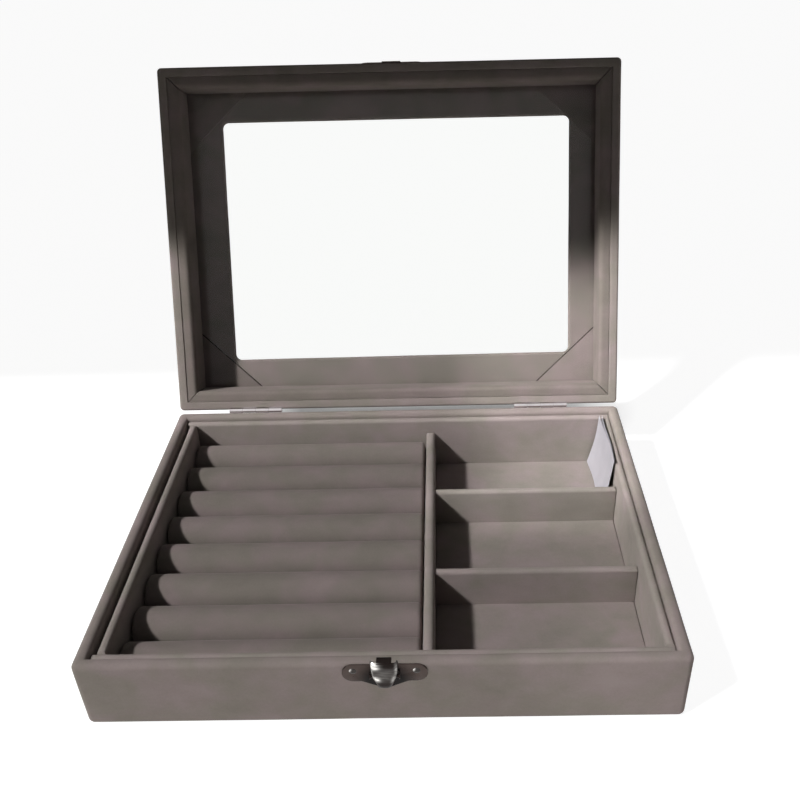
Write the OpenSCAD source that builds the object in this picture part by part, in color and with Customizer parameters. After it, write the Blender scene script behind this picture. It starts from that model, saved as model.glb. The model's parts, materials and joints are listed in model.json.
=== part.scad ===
// Ring display box: a velvet-covered board case with eight ring rolls, three trays,
// a glass lid on two butt hinges and a sprung front clasp.
// Frame: +X right, +Y back, +Z up, origin at the centre of the underside. The front faces -Y.
// The lid is drawn closed and then turned about its hinge to where its stops hold it open.

/* [Base] */
// Outside width of the box
body_w = 200; // [190:1:220]
// Outside depth of the box
body_d = 150; // [144:1:165]
// Height of the base, underside to rim
base_h = 28.5; // [27:0.5:34]
// Radius of the upright outer corners
corner_r = 3; // [2:0.5:4]
// Thickness of the base's outer walls
wall_t = 4.6; // [4.4:0.1:5.4]
// Thickness of the board that closes the bottom
bottom_t = 1.6; // [1.2:0.1:2.4]
// Thickness of the paper glued under the base
lining_t = 0.4; // [0.3:0.1:0.8]
// How far that paper stays inside the outline
lining_inset = 3; // [2:0.5:6]

/* [Liners and pads] */
// Thickness of the liner boards that stand inside the walls
liner_t = 3.2; // [2.6:0.1:3.8]
// How far the liners stop below the rim
liner_drop = 1.75; // [1:0.25:3]
// Open gap between the left liner and the outer wall
left_gap = 1.5; // [0.5:0.1:2]
// Thickness of the pads on the bottom board
pad_t = 0.9; // [0.6:0.1:1.4]

/* [Ring rolls] */
// Number of ring rolls, front to back
roll_count = 8; // [7:1:9]
// Clearance between two rolls and around each of them
roll_gap = 0.1; // [0.05:0.05:0.3]

/* [Dividers] */
// Thickness of the divider between the rolls and the trays
main_t = 4; // [3:0.1:5]
// Centre of that divider, from the middle of the box
main_x = 14.9; // [5:0.1:25]
// Height of that divider above the bottom board
main_h = 18.9; // [15:0.1:22]
// Thickness of the two dividers between the trays
cross_t = 3.2; // [2.6:0.1:4]
// Height of those dividers above the tray floor
cross_h = 16.4; // [12:0.1:18]
// Clear depth of the front tray
front_tray_d = 43.1; // [35:0.1:48]
// Clear depth of the rear tray
rear_tray_d = 40.1; // [38:0.1:46]

/* [Satin label] */
// Length of the loose satin label
label_w = 34.5; // [30:0.5:36]
// Height of the label
label_h = 25.5; // [24.5:0.5:27]
// Thickness of the folded label
label_t = 0.4; // [0.3:0.1:0.6]
// How far its lower edge stands out from the right liner
label_lean = 3.6; // [2:0.1:6]
// Gap between the label and the front of the rear tray
label_end_gap = 4.6; // [1:0.1:6]

/* [Lid] */
// Height of the lid
lid_h = 20; // [18:0.5:24]
// Angle at which the open lid rests, from closed
lid_angle = 113; // [100:1:120]
// Thickness of the lid's outer walls
lid_wall_t = 4; // [3.8:0.1:5.4]
// Gap between the two rims when the lid is closed
rim_gap = 0.4; // [0.3:0.05:0.6]
// Thickness of the board that frames the window
lid_board_t = 3; // [2:0.5:4]
// Thickness of the strips inside the lid's walls
frame_t = 4.5; // [3.4:0.1:4.8]
// Gap between a strip and the outer wall
frame_gap = 0.3; // [0.2:0.1:0.6]
// How far the strips stop short of the lid's rim
frame_drop = 1; // [0.5:0.1:2]

/* [Window] */
// Clear width of the window
window_w = 156.4; // [130:0.2:158]
// Clear depth of the window
window_d = 107.6; // [90:0.2:109]
// How far the window sits to the right
window_x = 1.6; // [-2:0.2:2]
// How far the window sits towards the hinges
window_y = 0; // [-2:0.2:2]
// Radius of the window's corners
window_r = 2.5; // [0.5:0.5:4]
// Thickness of the glass
glass_t = 2; // [1.6:0.1:3]
// Clearance around the glass inside the lid's walls
glass_clear = 0.4; // [0.2:0.1:0.8]
// Width of the velvet corners that the glass lies on, from wall to tip
patch_w = 36.2; // [32:0.2:38]
// Depth of those corners
patch_d = 34; // [28:0.2:35]
// Thickness of the velvet corners
patch_t = 0.4; // [0.3:0.1:0.8]

/* [Hinges] */
// Distance of each hinge's middle from the middle of the box
hinge_x = 65; // [50:1:78]
// Length of a hinge
hinge_l = 24; // [20:1:30]
// Number of knuckles on a hinge, both leaves together
knuckle_count = 4; // [2:2:6]
// Radius of the barrel
barrel_r = 1.1; // [1:0.05:1.3]
// Radius of the hinge pin
hinge_pin_r = 0.5; // [0.4:0.05:0.6]
// Running clearance between the pin and the lid's knuckles
hinge_pin_clear = 0.05; // [0.03:0.01:0.08]
// How far the pin's axis lies behind the back faces
hinge_out = 0.2; // [0.1:0.05:0.6]
// Thickness of a leaf
leaf_t = 0.5; // [0.4:0.05:0.6]
// Width of a leaf, from the pin's axis to its edge
leaf_w = 3.6; // [3.4:0.1:3.7]
// Gap between the closed leaves, which lie under the velvet of both rims
leaf_split = 1.1; // [0.9:0.05:1.3]
// Length of the stops that hold the lid open
stop_l = 5; // [3:0.5:7]
// Thickness of those stops
stop_t = 0.6; // [0.4:0.1:0.8]
// Clearance between a stop and the open lid
stop_clear = 0.05; // [0.02:0.01:0.1]

/* [Clasp] */
// Middle of the clasp, from the middle of the box
clasp_x = 1.2; // [-10:0.2:10]
// Width of the clasp plates, lobe to lobe
clasp_w = 27.6; // [26:0.2:32]
// Radius of the lobes
lobe_r = 3.6; // [3:0.1:4]
// Half the width at which the plates' lower edge turns in towards the tip
shoulder_x = 7.6; // [7:0.1:8.6]
// Full height of the lower clasp plate
clasp_h = 10.6; // [10:0.1:12]
// Thickness of the lower clasp plate
clasp_t = 0.8; // [0.6:0.05:1]
// Full height of the strike plate on the lid
strike_h = 10; // [9:0.1:12]
// How far the strike plate's lobes start above the lid's rim
strike_drop = 1.8; // [1.6:0.1:1.8]
// Thickness of the strike plate
strike_t = 0.4; // [0.4:0.05:0.6]
// Width of the lever at its pin and above
lever_w = 9; // [8.8:0.1:10.4]
// Width of the lever's round lower end
lever_low_w = 5; // [5:0.1:6.6]
// How far the lever stands up past the base's rim
lever_rise = 3; // [2.8:0.1:3.4]
// How far the lever reaches down from the rim
lever_reach = 8; // [8:0.1:9.4]
// How far the lever stands out from the front face
lever_out = 4.2; // [4:0.1:4.8]
// Thickness of the lever's skin
lever_skin = 0.5; // [0.4:0.05:0.6]
// Radius of the lever's outer edges
lever_edge_r = 1.6; // [1.2:0.1:2]
// Radius of the lever's pin
lever_pin_r = 0.6; // [0.5:0.05:0.7]
// Running clearance between the pin and the lever
lever_pin_clear = 0.05; // [0.03:0.01:0.08]
// How far the lever's pin lies below the rim
lever_pin_drop = 3.5; // [3.3:0.1:3.8]
// How far the lever's pin lies out from the front face
lever_pin_out = 2.1; // [2:0.05:2.4]

/* [Nails] */
// Radius of the shank of every nail
nail_r = 0.4; // [0.3:0.05:0.45]
// Length of the hinge nails
hinge_nail_l = 6; // [4:0.5:8]
// Length of the clasp nails
clasp_nail_l = 3.6; // [3:0.1:3.7]

/* [Hidden] */
ROLL_NODES = [for (i = [1 : roll_count]) str("ring_roll_", i)];

$fn = 48;
// A cut runs this far past the face it opens
past = 1;

// Levels of the base
board_top = lining_t + bottom_t;
floor_z = board_top + pad_t;
liner_top = base_h - liner_drop;

// Inside faces of the walls and of the liners
wall_x = body_w / 2 - wall_t;
wall_y = body_d / 2 - wall_t;
inner_y = wall_y - liner_t;
inner_right = wall_x - liner_t;
inner_left = -(wall_x - left_gap - liner_t);
main_left = main_x - main_t / 2;
main_right = main_x + main_t / 2;
rear_cross_y = inner_y - rear_tray_d - cross_t;
front_cross_y = -inner_y + front_tray_d;

// Rolls share the depth between the front and back liners
roll_pitch = 2 * inner_y / roll_count;
roll_r = (roll_pitch - roll_gap) / 2;

// Levels of the closed lid
lid_rim_z = base_h + rim_gap;
lid_top_z = lid_rim_z + lid_h;
lid_in_x = body_w / 2 - lid_wall_t;
lid_in_y = body_d / 2 - lid_wall_t;
board_face_z = lid_top_z - lid_board_t;
glass_top_z = board_face_z - patch_t;
glass_face_z = glass_top_z - glass_t;
frame_out_x = lid_in_x - frame_gap;
frame_out_y = lid_in_y - frame_gap;
frame_in_x = frame_out_x - frame_t;
frame_in_y = frame_out_y - frame_t;

// Hinge axis, halfway between the rims
axis_y = body_d / 2 + hinge_out;
axis_z = base_h + rim_gap / 2;
knuckle_l = hinge_l / knuckle_count;
knuckle_gap = 0.1;
barrel_clear = 0.25;
pocket_clear = 0.1;
hinge_nail_x = hinge_l / 3;
nail_inset = leaf_w * 0.62;
hinge_head_r = 0.8;
hinge_head_t = 0.25;

// Clasp, measured out from the front face and up from the base's rim
clasp_top = 0.1;
lobe_x = clasp_w / 2 - lobe_r;
tip_r = 2.2;
arc_steps = 12;
ear_t = 0.6;
ear_x = 2.9;
ear_half = 1.6;
ear_over = 0.8;
flange_clear = 0.5;
flange_half = 1.1;
flange_tail = 1.3;
nose_w = 4.8;
nose_t = 0.8;
nose_in = 0.4;
slot_side = 0.4;
slot_below = 0.35;
slot_above = 0.6;
slot_depth = 1;
spring_w = 2.4;
spring_t = 0.3;
spring_clear = 0.05;
pin_head_r = 0.95;
pin_head_t = 0.3;
pin_play = 0.1;
head_r = 0.9;
head_t = 0.35;
clasp_nail_z = -2.6;
strike_nail_z = strike_drop - clasp_nail_z;
strike_tab_w = 8;

// A flat rounded rectangle
module rounded_rect(w, d, r) {
    square([w - 2 * r, d], center = true);
    square([w, d - 2 * r], center = true);
    for (x = [-1, 1], y = [-1, 1])
        translate([x * (w / 2 - r), y * (d / 2 - r)]) circle(r);
}

// A block given by its two far corners
module block(a, b) {
    translate(a) cube(b - a);
}

// A board on edge whose top is rounded, running along +Y from the origin
module rounded_board(t, l, h) {
    translate([0, l, 0]) rotate([90, 0, 0]) linear_extrude(l) {
        translate([-t / 2, 0]) square([t, h - t / 2]);
        translate([0, h - t / 2]) circle(t / 2);
    }
}

// Turns the closed lid about the hinge to its open rest
module opened() {
    translate([0, axis_y, axis_z]) rotate([-lid_angle, 0, 0])
        translate([0, -axis_y, -axis_z]) children();
}

// ---- base ----

module base_outer_walls() color("#8a807c") difference() {
    translate([0, 0, lining_t]) linear_extrude(base_h - lining_t) difference() {
        rounded_rect(body_w, body_d, corner_r);
        square([2 * wall_x, 2 * wall_y], center = true);
    }
    hinge_mortises(-1);
    hinge_nail_set(-1);
    on_front(base_h) clasp_nail_pair(clasp_t, clasp_nail_z);
}

module base_bottom_board() color("#6f655f")
    block([-wall_x, -wall_y, lining_t], [wall_x, wall_y, board_top]);

module underside_lining() color("#3b3634")
    linear_extrude(lining_t)
        rounded_rect(body_w - 2 * lining_inset, body_d - 2 * lining_inset, corner_r);

module liner_front() color("#857b77")
    block([-wall_x, -wall_y, board_top], [wall_x, -inner_y, liner_top]);

module liner_back() color("#857b77")
    block([-wall_x, inner_y, board_top], [wall_x, wall_y, liner_top]);

module liner_left() color("#857b77")
    block([inner_left - liner_t, -inner_y, board_top], [inner_left, inner_y, liner_top]);

module liner_right() color("#857b77")
    block([inner_right, -inner_y, board_top], [wall_x, inner_y, liner_top]);

module roll_bed() color("#7a706c")
    block([inner_left, -inner_y, board_top], [main_left, inner_y, floor_z]);

module tray_floor_pad() color("#9a918d")
    block([main_right, -inner_y, board_top], [inner_right, inner_y, floor_z]);

module main_divider() color("#857b77")
    translate([main_x, -inner_y, board_top]) rounded_board(main_t, 2 * inner_y, main_h);

// The board between two trays, with its front face at y
module cross_divider(y) color("#857b77")
    translate([main_right, y + cross_t / 2, floor_z]) rotate([0, 0, -90])
        rounded_board(cross_t, inner_right - main_right, cross_h);

// Roll number i, counted from the back
module ring_roll(i) color("#7d736f")
    translate([inner_left + roll_gap, inner_y - (i - 0.5) * roll_pitch, floor_z + roll_r + roll_gap / 2])
        rotate([0, 90, 0]) cylinder(r = roll_r, h = main_left - inner_left - 2 * roll_gap);

// The label stands on the tray floor and leans on the right liner's top edge
module satin_label() color("#f2f1ef") {
    lean = atan((label_lean - label_t) / (liner_top - floor_z));
    translate([inner_right - label_lean - label_t, rear_cross_y + cross_t + label_end_gap,
               floor_z + label_t * sin(lean)])
        rotate([0, lean, 0]) cube([label_t, label_w, label_h]);
}

// ---- lid, drawn closed ----

module lid_outer_walls() color("#8a807c") opened() difference() {
    translate([0, 0, lid_rim_z]) linear_extrude(lid_h) difference() {
        rounded_rect(body_w, body_d, corner_r);
        square([2 * lid_in_x, 2 * lid_in_y], center = true);
    }
    hinge_mortises(1);
    hinge_nail_set(1);
    on_front(lid_rim_z) clasp_nail_pair(strike_t, strike_nail_z);
    on_front(base_h) nose_slot();
}

module lid_window_board() color("#847a76") opened()
    translate([0, 0, board_face_z]) linear_extrude(lid_board_t) difference() {
        square([2 * lid_in_x, 2 * lid_in_y], center = true);
        translate([window_x, window_y]) rounded_rect(window_w, window_d, window_r);
    }

module glass_pane() color("#dfe6e6", 0.4) opened()
    translate([0, 0, glass_face_z]) linear_extrude(glass_t)
        square([2 * (lid_in_x - glass_clear), 2 * (lid_in_y - glass_clear)], center = true);

// Folded velvet corners between the board and the glass
module board_corner_folds() color("#7a706c") opened()
    for (x = [-1, 1], y = [-1, 1])
        translate([x * lid_in_x, y * lid_in_y, glass_top_z]) linear_extrude(patch_t)
            polygon([[0, 0], [-x * patch_w, 0], [0, -y * patch_d]]);

// A strip between the two given outline corners and the inner ones behind them, mitred
module frame_strip(outer_a, outer_b, inner_b, inner_a) color("#857b77") opened()
    translate([0, 0, lid_rim_z + frame_drop]) linear_extrude(glass_face_z - lid_rim_z - frame_drop)
        polygon([outer_a, outer_b, inner_b, inner_a]);

module lid_frame_front()
    frame_strip([-frame_out_x, -frame_out_y], [frame_out_x, -frame_out_y],
                [frame_in_x, -frame_in_y], [-frame_in_x, -frame_in_y]);

module lid_frame_back()
    frame_strip([-frame_out_x, frame_out_y], [frame_out_x, frame_out_y],
                [frame_in_x, frame_in_y], [-frame_in_x, frame_in_y]);

module lid_frame_left()
    frame_strip([-frame_out_x, -frame_out_y], [-frame_out_x, frame_out_y],
                [-frame_in_x, frame_in_y], [-frame_in_x, -frame_in_y]);

module lid_frame_right()
    frame_strip([frame_out_x, -frame_out_y], [frame_out_x, frame_out_y],
                [frame_in_x, frame_in_y], [frame_in_x, -frame_in_y]);

// ---- hinges ----

// A cylinder along X about the hinge axis, from x to x + l
module on_axis(x, l, r) {
    translate([x, axis_y, axis_z]) rotate([0, 90, 0]) cylinder(r = r, h = l);
}

// Knuckle number k of the hinge centred on x, grown at its ends and its radius
module knuckle(x, k, r, grow) {
    on_axis(x - hinge_l / 2 + k * knuckle_l - grow, knuckle_l + 2 * grow, r);
}

// Lowest and highest level of a leaf: side -1 lies in the base, side 1 in the closed lid
function leaf_levels(side) =
    let (inner = axis_z + side * leaf_split / 2, outer = inner + side * leaf_t)
    [min(inner, outer), max(inner, outer)];

// What the hinges need cut from the walls: a slot for each leaf and a groove for its barrel
module hinge_mortises(side) {
    for (x = [-hinge_x, hinge_x]) translate([x, 0, 0]) {
        block([-hinge_l / 2 - pocket_clear, axis_y - leaf_w - pocket_clear, leaf_levels(side)[0]],
              [hinge_l / 2 + pocket_clear, axis_y + past, leaf_levels(side)[1]]);
        on_axis(-hinge_l / 2 - pocket_clear, hinge_l + 2 * pocket_clear, barrel_r + barrel_clear);
    }
}

// Nails of both hinges: side -1 goes down into the base, side 1 up into the lid
module hinge_nail_set(side) {
    for (x = [-hinge_x, hinge_x], n = [-1, 1])
        translate([x + n * hinge_nail_x, axis_y - nail_inset, axis_z + side * leaf_split / 2])
            mirror([0, 0, side < 0 ? 1 : 0]) {
                cylinder(r = hinge_head_r, h = hinge_head_t);
                cylinder(r = nail_r, h = hinge_nail_l);
            }
}

// One leaf about the hinge centred on x, on the side that leaf_levels takes. It owns every second
// knuckle, starting with the first for the base and the second for the lid.
module hinge_leaf(x, side, bore_r) color("#8d8c8a") {
    first = side < 0 ? 0 : 1;
    difference() {
        union() {
            block([x - hinge_l / 2, axis_y - leaf_w, leaf_levels(side)[0]],
                  [x + hinge_l / 2, axis_y - hinge_pin_r, leaf_levels(side)[1]]);
            for (k = [first : 2 : knuckle_count - 1]) knuckle(x, k, barrel_r, -knuckle_gap / 2);
            if (side < 0) lid_stops(x);
        }
        on_axis(x - hinge_l / 2 - past, hinge_l + 2 * past, bore_r);
        for (k = [1 - first : 2 : knuckle_count - 1])
            knuckle(x, k, barrel_r + barrel_clear, knuckle_gap / 2);
        hinge_nail_set(side);
    }
}

// Stops on the base leaf's knuckles, which the open lid's back face lies on
module lid_stops(x) {
    for (k = [0 : 2 : knuckle_count - 1])
        translate([x - hinge_l / 2 + k * knuckle_l + knuckle_gap / 2, axis_y, axis_z])
            rotate([90 - lid_angle, 0, 0])
                translate([0, hinge_pin_r + hinge_pin_clear, hinge_out - stop_clear - stop_t])
                    cube([knuckle_l - knuckle_gap, stop_l, stop_t]);
}

module hinge_pin(x) color("#a5a4a2") on_axis(x - hinge_l / 2, hinge_l, hinge_pin_r);

module left_hinge_base_leaf() hinge_leaf(-hinge_x, -1, hinge_pin_r);

module right_hinge_base_leaf() hinge_leaf(hinge_x, -1, hinge_pin_r);

module left_hinge_lid_leaf() opened() hinge_leaf(-hinge_x, 1, hinge_pin_r + hinge_pin_clear);

module right_hinge_lid_leaf() opened() hinge_leaf(hinge_x, 1, hinge_pin_r + hinge_pin_clear);

module hinge_base_nails() color("#a5a4a2") hinge_nail_set(-1);

module hinge_lid_nails() color("#a5a4a2") opened() hinge_nail_set(1);

// ---- clasp, drawn with +Y out from the front face and Z from the given level ----

module on_front(z) {
    translate([clasp_x, -body_d / 2, z]) mirror([0, 1, 0]) children();
}

// An upright plate of thickness t standing on the front face, cut from a flat outline
module front_plate(t) {
    translate([0, t, 0]) rotate([90, 0, 0]) linear_extrude(t) children();
}

// Two nails through a plate of thickness t, z above its level
module clasp_nail_pair(t, z) {
    for (x = [-lobe_x, lobe_x]) translate([x, t, z]) {
        rotate([90, 0, 0]) cylinder(r = nail_r, h = clasp_nail_l + t);
        rotate([-90, 0, 0]) cylinder(r = head_r, h = head_t);
    }
}

// Points of an arc about c from angle a0 to a1
function arc(c, r, a0, a1) = [for (i = [0 : arc_steps])
    let (a = a0 + (a1 - a0) * i / arc_steps) c + r * [cos(a), sin(a)]];

// The plates' outline, hanging down from z = 0: two round lobes, straight edges that run in
// from them, and a blunt tip between
module lobed_outline(h) {
    polygon(concat(arc([-lobe_x, -lobe_r], lobe_r, 90, 270), [[-shoulder_x, -2 * lobe_r]],
                   arc([0, -h + tip_r], tip_r, 225, 315), [[shoulder_x, -2 * lobe_r]],
                   arc([lobe_x, -lobe_r], lobe_r, -90, 90)));
}

// The strike plate's outline: its lobes start clear of the rim, and a tab between them reaches it
module strike_outline() {
    translate([0, -strike_drop]) lobed_outline(strike_h - strike_drop);
    translate([-strike_tab_w / 2, -2 * strike_drop]) square([strike_tab_w, 2 * strike_drop]);
}

module clasp_plate() color("#4a4644") on_front(base_h) difference() {
    union() {
        translate([0, 0, -clasp_top]) front_plate(clasp_t) lobed_outline(clasp_h);
        for (x = [-ear_x - ear_t, ear_x])
            translate([x, 0, -lever_pin_drop - ear_half])
                cube([ear_t, lever_pin_out + ear_over, 2 * ear_half]);
    }
    lever_axle(ear_x + ear_t + past, lever_pin_r);
    clasp_nail_pair(clasp_t, clasp_nail_z);
}

// A cylinder about the lever's pin axis, half_l to each side
module lever_axle(half_l, r) {
    translate([-half_l, lever_pin_out, -lever_pin_drop]) rotate([0, 90, 0])
        cylinder(r = r, h = 2 * half_l);
}

module clasp_pin() color("#8d8c8a") on_front(base_h) {
    lever_axle(lever_w / 2 + pin_play, lever_pin_r);
    for (x = [-lever_w / 2 - pin_play - pin_head_t, lever_w / 2 + pin_play])
        translate([x, lever_pin_out, -lever_pin_drop]) rotate([0, 90, 0])
            cylinder(r = pin_head_r, h = pin_head_t);
}

// Section across the lever: a channel with round outer edges, open towards the plate
module lever_section(inset) {
    w = lever_w - 2 * inset;
    r = lever_edge_r - inset;
    out = lever_out - inset;
    translate([-w / 2 + r, 0]) square([w - 2 * r, out]);
    translate([-w / 2, 0]) square([w, out - r]);
    for (x = [-1, 1]) translate([x * (w / 2 - r), out - r]) circle(r);
}

// Front view of the lever: straight down past its pin, then in to a round end
module lever_front() {
    low_r = lever_low_w / 2;
    waist = -lever_pin_drop - flange_half;
    polygon([[-lever_w / 2, lever_rise], [lever_w / 2, lever_rise],
             [lever_w / 2, waist], [low_r, -lever_reach + low_r],
             [-low_r, -lever_reach + low_r], [-lever_w / 2, waist]]);
    translate([0, -lever_reach + low_r]) circle(low_r);
}

// Side view of the lever: flanges deep at the pin and shallow at both ends
module lever_side() {
    near = clasp_t + flange_clear;
    polygon([[lever_out, lever_rise], [lever_out, -lever_reach],
             [lever_out - flange_tail, -lever_reach],
             [near, -lever_pin_drop - flange_half], [near, -lever_pin_drop + flange_half],
             [lever_out - flange_tail, lever_rise]]);
}

module clasp_lever() color("#5a5654") on_front(base_h) difference() {
    union() {
        intersection() {
            translate([0, 0, -lever_reach]) linear_extrude(lever_reach + lever_rise) difference() {
                lever_section(0);
                lever_section(lever_skin);
            }
            front_plate(lever_out) lever_front();
            rotate([90, 0, 90]) linear_extrude(lever_w, center = true) lever_side();
        }
        block([-nose_w / 2, -nose_in, lever_rise - nose_t],
              [nose_w / 2, lever_out - lever_skin / 2, lever_rise]);
    }
    lever_axle(lever_w / 2 + past, lever_pin_r + lever_pin_clear);
}

// A bent leaf that stands on the plate and pushes the lever's lower end out
module clasp_spring() color("#9a9896") on_front(base_h) {
    foot_top = -lever_pin_drop - ear_half;
    bend = -lever_reach - spring_t;
    reach = lever_out - lever_skin - spring_clear;
    touch = -lever_reach + lever_low_w / 3;
    rotate([90, 0, 90]) linear_extrude(spring_w, center = true)
        polygon([[clasp_t, foot_top], [clasp_t, bend], [clasp_t + spring_t, bend],
                 [reach, touch], [reach, touch + spring_t],
                 [clasp_t + spring_t, bend + 2 * spring_t], [clasp_t + spring_t, foot_top]]);
}

module clasp_nails() color("#b5b3b0") on_front(base_h) clasp_nail_pair(clasp_t, clasp_nail_z);

// The room that the lever's nose needs in the strike plate and in the lid's wall
module nose_slot() {
    block([-nose_w / 2 - slot_side, -slot_depth, lever_rise - nose_t - slot_below],
          [nose_w / 2 + slot_side, strike_t + past, lever_rise + slot_above]);
}

module strike_plate() color("#4a4644") opened() difference() {
    on_front(lid_rim_z) difference() {
        translate([0, 0, clasp_top]) mirror([0, 0, 1]) front_plate(strike_t) strike_outline();
        clasp_nail_pair(strike_t, strike_nail_z);
    }
    on_front(base_h) nose_slot();
}

module strike_nails() color("#b5b3b0") opened()
    on_front(lid_rim_z) clasp_nail_pair(strike_t, strike_nail_z);

base_outer_walls();
base_bottom_board();
underside_lining();
liner_front();
liner_back();
liner_left();
liner_right();
roll_bed();
tray_floor_pad();
main_divider();
cross_divider(front_cross_y);  // cross_divider_front
cross_divider(rear_cross_y);  // cross_divider_rear
satin_label();
for (i = [1 : roll_count])
    ring_roll(i);
lid_outer_walls();
lid_window_board();
glass_pane();
board_corner_folds();
lid_frame_front();
lid_frame_back();
lid_frame_left();
lid_frame_right();
left_hinge_base_leaf();
left_hinge_lid_leaf();
hinge_pin(-hinge_x);  // left_hinge_pin
right_hinge_base_leaf();
right_hinge_lid_leaf();
hinge_pin(hinge_x);  // right_hinge_pin
hinge_base_nails();
hinge_lid_nails();
clasp_plate();
clasp_lever();
clasp_pin();
clasp_spring();
clasp_nails();
strike_plate();
strike_nails();
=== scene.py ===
# %% [markdown]
# # A velvet ring display box
# This box is made the way a case maker makes it: boards are cut, wrapped in short-pile velvet and
# glued together, eight stuffed rolls are pressed in beside three trays, and a glazed lid hangs on
# two small hinges. The lesson dresses an exact construction model of it, piece by piece. That
# model is loaded first and stays fixed, and every new piece takes its size from it.

# %% Load the construction model
import json
import math

import bmesh
import bpy
from mathutils import Matrix, Vector


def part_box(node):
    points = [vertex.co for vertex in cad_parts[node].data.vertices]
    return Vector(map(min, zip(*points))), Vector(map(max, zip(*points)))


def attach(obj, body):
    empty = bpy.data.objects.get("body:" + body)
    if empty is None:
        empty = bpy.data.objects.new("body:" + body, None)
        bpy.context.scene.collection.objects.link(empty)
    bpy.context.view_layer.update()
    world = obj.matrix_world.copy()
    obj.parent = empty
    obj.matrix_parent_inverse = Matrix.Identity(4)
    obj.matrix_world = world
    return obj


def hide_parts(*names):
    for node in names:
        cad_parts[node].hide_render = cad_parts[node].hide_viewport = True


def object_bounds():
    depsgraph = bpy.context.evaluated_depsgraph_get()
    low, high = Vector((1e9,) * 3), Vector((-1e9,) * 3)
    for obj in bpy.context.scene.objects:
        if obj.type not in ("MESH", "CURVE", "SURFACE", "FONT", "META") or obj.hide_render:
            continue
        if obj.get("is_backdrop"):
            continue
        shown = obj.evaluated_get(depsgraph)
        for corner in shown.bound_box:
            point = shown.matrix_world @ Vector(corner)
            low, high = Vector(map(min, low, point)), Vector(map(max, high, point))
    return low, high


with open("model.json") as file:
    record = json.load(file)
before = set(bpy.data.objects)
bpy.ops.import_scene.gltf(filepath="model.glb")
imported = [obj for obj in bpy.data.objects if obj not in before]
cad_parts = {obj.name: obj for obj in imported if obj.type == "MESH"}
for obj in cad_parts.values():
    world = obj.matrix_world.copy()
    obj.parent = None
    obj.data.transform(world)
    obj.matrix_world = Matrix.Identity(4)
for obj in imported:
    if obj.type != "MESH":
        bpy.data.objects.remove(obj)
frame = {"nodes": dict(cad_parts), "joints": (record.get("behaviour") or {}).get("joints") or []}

MM = 0.001
cad_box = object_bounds()

# %% [markdown]
# ## The camera
# A camera set first shows every later step from the same place. The box is seen from above its
# front edge by someone who stands a little to the right of its middle, close enough for the
# sides to run together. The lens shift frames the box without turning the camera.

# %% Place the camera
FRAME_PIXELS = 800
SENSOR_MM = 36
FOCAL_PIXELS = 901.75
CENTRE_X, CENTRE_Y = 434.96, 413.21
EYE = Vector((22.64, -271.86, 250.47)) * MM
EYE_TURN = (57.02, 1.309, 0.091)

lens = bpy.data.cameras.new("viewing_camera")
lens.sensor_width = SENSOR_MM
lens.lens = FOCAL_PIXELS / FRAME_PIXELS * SENSOR_MM
lens.shift_x = (FRAME_PIXELS / 2 - CENTRE_X) / FRAME_PIXELS
lens.shift_y = (CENTRE_Y - FRAME_PIXELS / 2) / FRAME_PIXELS
camera = bpy.data.objects.new("viewing_camera", lens)
camera.location = EYE
camera.rotation_euler = [math.radians(a) for a in EYE_TURN]
bpy.context.scene.collection.objects.link(camera)
bpy.context.scene.camera = camera
bpy.context.scene.view_settings.view_transform = "Standard"
print("focal length", round(lens.lens, 2), "mm")

# %% [markdown]
# ## Hand tools
# Each piece starts as a block, and is then shaped in edit mode. A few small helpers do what a
# modeller's hands would do: make one object active, settle its place into its mesh, join pieces,
# add a block between two corners, choose edges by where they lie, and round them. Choosing by
# place keeps the steps readable, because "the top edges" says more than a list of numbers.

# %% Helpers for selecting and rounding
SHARP = math.radians(30)
TINY = 0.02 * MM


def only(obj):
    """Makes obj the one selected and active object."""
    if bpy.context.object and bpy.context.object.mode != "OBJECT":
        bpy.ops.object.mode_set(mode="OBJECT")
    bpy.ops.object.select_all(action="DESELECT")
    obj.select_set(True)
    bpy.context.view_layer.objects.active = obj
    return obj


def settle(obj):
    """Moves an object's place, turn and size into its mesh."""
    only(obj)
    bpy.ops.object.transform_apply(location=True, rotation=True, scale=True)


def apply_modifier(obj, modifier):
    """Makes what a modifier does part of the mesh."""
    only(obj)
    bpy.ops.object.modifier_apply(modifier=modifier.name)


def join(first, *others):
    """Joins the others into the first object."""
    only(first)
    for other in others:
        other.select_set(True)
    bpy.ops.object.join()
    return first


def new_shape(name, add_shape, **settings):
    """A new object from one of the add-mesh tools, under a name of its own."""
    bpy.ops.object.select_all(action="DESELECT")
    add_shape(**settings)
    obj = bpy.context.object
    obj.name = obj.data.name = name
    return obj


def block(name, lo, hi):
    """A block between two corners, as an object at the origin with its place in its mesh."""
    lo, hi = Vector(lo), Vector(hi)
    obj = new_shape(name, bpy.ops.mesh.primitive_cube_add, size=1, location=(lo + hi) / 2)
    obj.scale = hi - lo
    settle(obj)
    return obj


def pick_edges(obj, where):
    """In edit mode, selects the sharp edges for which where(one end, other end) is true."""
    bpy.ops.mesh.select_mode(type="EDGE")
    bpy.ops.mesh.select_all(action="DESELECT")
    mesh = bmesh.from_edit_mesh(obj.data)
    picked = 0
    for edge in mesh.edges:
        if len(edge.link_faces) == 2 and edge.calc_face_angle(0) > SHARP:
            a, b = (v.co for v in edge.verts)
            if where(a, b):
                edge.select_set(True)
                picked += 1
    bmesh.update_edit_mesh(obj.data)
    return picked


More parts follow.
